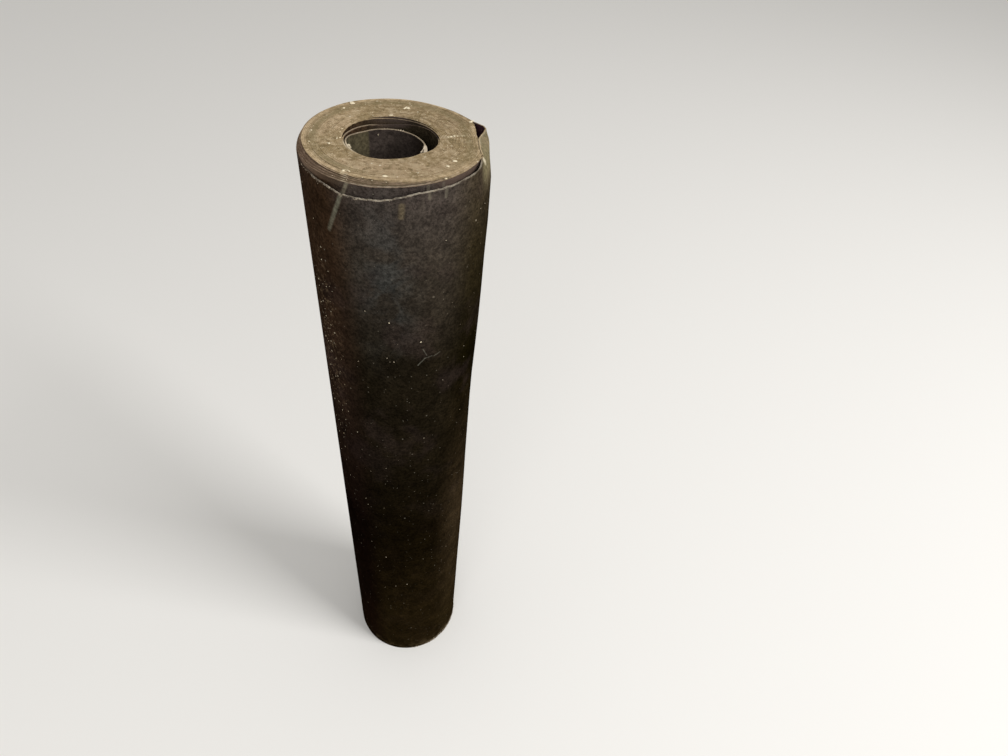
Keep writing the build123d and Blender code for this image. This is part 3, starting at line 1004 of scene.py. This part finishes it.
class Crumbs:
    """Small flat flakes of debris, each a closed shape half sunk in the felt."""

    def __init__(self, seed):
        self.random = np.random.default_rng(seed)
        self.points, self.faces, self.felt = [], [], []

    def flake(self, place, up, size, felt):
        """Adds one ragged flake that lies flat on the surface; one of felt is long and thin."""
        along = up.orthogonal().normalized()
        across = up.cross(along)
        turn, stretch = self.random.uniform(0, math.tau), self.random.uniform(0.45, 1) * (1 - 0.6 * felt)
        turn = complex(math.cos(turn), math.sin(turn))
        start = len(self.points)
        for corner in range(FLAKE_CORNERS):
            angle = math.tau * corner / FLAKE_CORNERS
            spot = complex(math.cos(angle), math.sin(angle) * stretch) * turn * self.random.uniform(0.6, 1)
            flat = (along * spot.real + across * spot.imag) * size
            self.points.append(tuple(place + flat + up * size * 0.12))
        self.points.append(tuple(place + up * min(size * 0.5, 0.9 * MM)))
        self.points.append(tuple(place - up * size * 0.25))
        self.felt += [felt] * (FLAKE_CORNERS + 2)
        top, bottom = start + FLAKE_CORNERS, start + FLAKE_CORNERS + 1
        for corner in range(FLAKE_CORNERS):
            here, there = start + corner, start + (corner + 1) % FLAKE_CORNERS
            self.faces += [(here, there, top), (there, here, bottom)]

    def on_side(self, azimuth, height, size, felt):
        """Adds a flake on the last turn's outside, if it lies below the torn edge."""
        if height < top_of(last_station(azimuth)) - size:
            self.flake(*side_place(azimuth, height), size, felt)

    def on_tear(self, azimuth, lift, size):
        """Adds a fibre this far above the torn edge."""
        self.flake(*side_place(azimuth, top_of(last_station(azimuth)) + lift), size, FIBRE)

    def on_foot(self, azimuth, lift, size):
        """Adds a tilted frayed flake on the foot, clear of the floor."""
        place, outward = side_place(azimuth, size * 0.75 + lift)
        self.flake(place, (outward * 0.8 + UP).normalized(), size, FRAY)

    def on_end(self, x, y, size):
        """Adds a flake on the wound end."""
        self.flake(*end_place(x, y), size, GRIT)


def scatter(crumbs):
    """Adds the small crumbs at random: on the tear, the foot, the side, its left and the wound end."""
    pick = crumbs.random
    for _ in range(TEAR_SCATTER):
        crumbs.on_tear(pick.uniform(-158, -62), pick.normal(-0.3, 0.5) * MM, pick.uniform(0.3, 1.1) * MM)
    for _ in range(FOOT_SCATTER):
        crumbs.on_foot(pick.uniform(-92, 2), pick.uniform(0.3, 1.8) * MM, pick.uniform(0.8, 2.1) * MM)
    for _ in range(SIDE_SCATTER):
        crumbs.on_side(pick.uniform(-170, 15), TALL * pick.uniform(0.03, 0.985),
                       pick.uniform(0.2, 0.5) * MM, MIXED)
    for _ in range(LEFT_SCATTER):
        crumbs.on_side(pick.normal(-150, 8), TALL * pick.normal(0.74, 0.10),
                       pick.uniform(0.25, 1.15) * MM, LEFT_BIT)
    for _ in range(END_SCATTER):
        azimuth, share = pick.uniform(-180, 180), pick.uniform(0, 1) ** 0.7
        x, y = BORE_CENTRE + towards(azimuth, (BORE_RADIUS / MM + 2 + share * 34) * MM)
        crumbs.on_end(x, y, pick.uniform(0.2, 0.65) * MM)


def all_crumbs():
    """The large crumbs, the small scattered ones, and those at the bore."""
    crumbs = Crumbs(11)
    pick = crumbs.random
    for azimuth, height in BRIGHT_CRUMBS:
        crumbs.on_side(azimuth, height * MM, pick.uniform(0.9, 1.2) * MM, GRIT)
    for azimuth, height in SIDE_CRUMBS:
        crumbs.on_side(azimuth, height * MM, pick.uniform(0.7, 1.4) * MM, FLECK)
    for x, y, size in END_CRUMBS:
        crumbs.on_end(x * MM, y * MM, size * CRUMB_GROWTH * MM)
    for azimuth, lift, size in TEAR_FLUFF:
        crumbs.on_tear(azimuth, lift * MM, size * MM)
    scatter(crumbs)
    for station, size in RIM_FLUFF:
        place = raised(middle_of(station, TALL)[0], top_of(station))
        crumbs.flake(place, Vector((0, -0.4, 0.9)).normalized(), size * MM, MIXED)
    station, height, size = WALL_SPECK
    middle, outward = middle_of(station, height * MM)
    crumbs.flake(raised(middle - outward * FELT / 2, height * MM), raised(-outward, 0), size * MM, MIXED)
    for azimuth, radius, sunk, size in BORE_CHIPS:
        place = raised(towards(azimuth, radius * MM), TALL - sunk * MM)
        crumbs.flake(place, Vector((0.5, -0.2, 0.8)).normalized(), size * MM, CHIP)
    return crumbs


def crumb_matter():
    """Pale dust, wood and plaster crumbs, and duller strands of felt."""
    m = Nodes("pale_crumbs")
    m.colour = m.mix(m.steps(m.noise(60, 2, 0.5), 0.34, 0.5), (176, 156, 122), (226, 212, 182))
    strands = m.mix(m.steps(m.noise(400), 0.42, 0.6), (104, 92, 78), (166, 152, 132))
    m.coat(strands, m.steps(m.attribute("felt"), 0.2, 0.6))
    return m.finish(0.9, 0.1)


def plain_floor():
    """A wide pale floor."""
    reach = 14
    corners = [(-reach, -reach, 0), (reach, -reach, 0), (reach, reach, 0), (-reach, reach, 0)]
    floor = mesh_object("floor", corners, [(0, 1, 2, 3)])
    m = Nodes("pale_floor")
    m.feed(m.shader, {"Base Color": srgb(236, 234, 230), "Roughness": 0.9})
    floor.data.materials.append(m.material)


def soft_light(name, place, target, size, power):
    """One square soft lamp that looks at a point."""
    lamp = bpy.data.lights.new(name, "AREA")
    lamp.size = size
    lamp.energy = power
    made = placed(name, lamp)
    made.location = place
    made.rotation_euler = (Vector(target) - Vector(place)).to_track_quat("-Z", "Y").to_euler()


def studio():
    """A pale world and two soft lamps, the stronger one at the right."""
    world = bpy.data.worlds.new("studio")
    world.use_nodes = True
    sky = world.node_tree.nodes["Background"].inputs
    sky["Color"].default_value = (1, 0.99, 0.97, 1)
    sky["Strength"].default_value = 0.5
    bpy.context.scene.world = world
    middle = (0, 0, TALL * 0.6)
    soft_light("key", (3.68, -2.08, 3.83), middle, 2.1, 214)
    soft_light("fill", (-0.6, -2.4, 2.4), middle, 2, 20)


# The camera of the photograph, fitted to the roll's outline; its angles are in degrees
EYE = Vector((0, -0.5344, 1.1744))
PITCH, YAW, ROLL = 45.86, 12.98, 7.92
FOCAL_PIXELS = 640
PHOTO_WIDTH = 1008


def turned(degrees, axis):
    """A turn about one axis."""
    return Matrix.Rotation(math.radians(degrees), 4, axis)


def photo_camera():
    """A camera at the photograph's viewing angle."""
    data = bpy.data.cameras.new("camera")
    data.sensor_width = 36
    data.lens = FOCAL_PIXELS / PHOTO_WIDTH * data.sensor_width
    camera = placed("camera", data)
    camera.matrix_world = (Matrix.Translation(EYE) @ turned(-YAW, "Z") @ turned(90 - PITCH, "X")
                           @ turned(ROLL, "Z"))
    bpy.context.scene.camera = camera


bpy.context.scene.view_settings.view_transform = "Standard"
photo_camera()
studio()
plain_floor()

strip = wound_strip()
roll = mesh_object("wound_felt", strip.points, strip.faces)
for material in (felt_side(), felt_end(), felt_foot()):
    roll.data.materials.append(material)
shade_smooth_sides(roll, strip.slots)
for name, values in strip.measures.items():
    measure(roll, name, values)
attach(roll, "root")
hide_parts("felt_roll")

crumbs = all_crumbs()
debris = mesh_object("dust_crumbs", crumbs.points, crumbs.faces)
debris.data.materials.append(crumb_matter())
measure(debris, "felt", crumbs.felt)
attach(debris, "root")
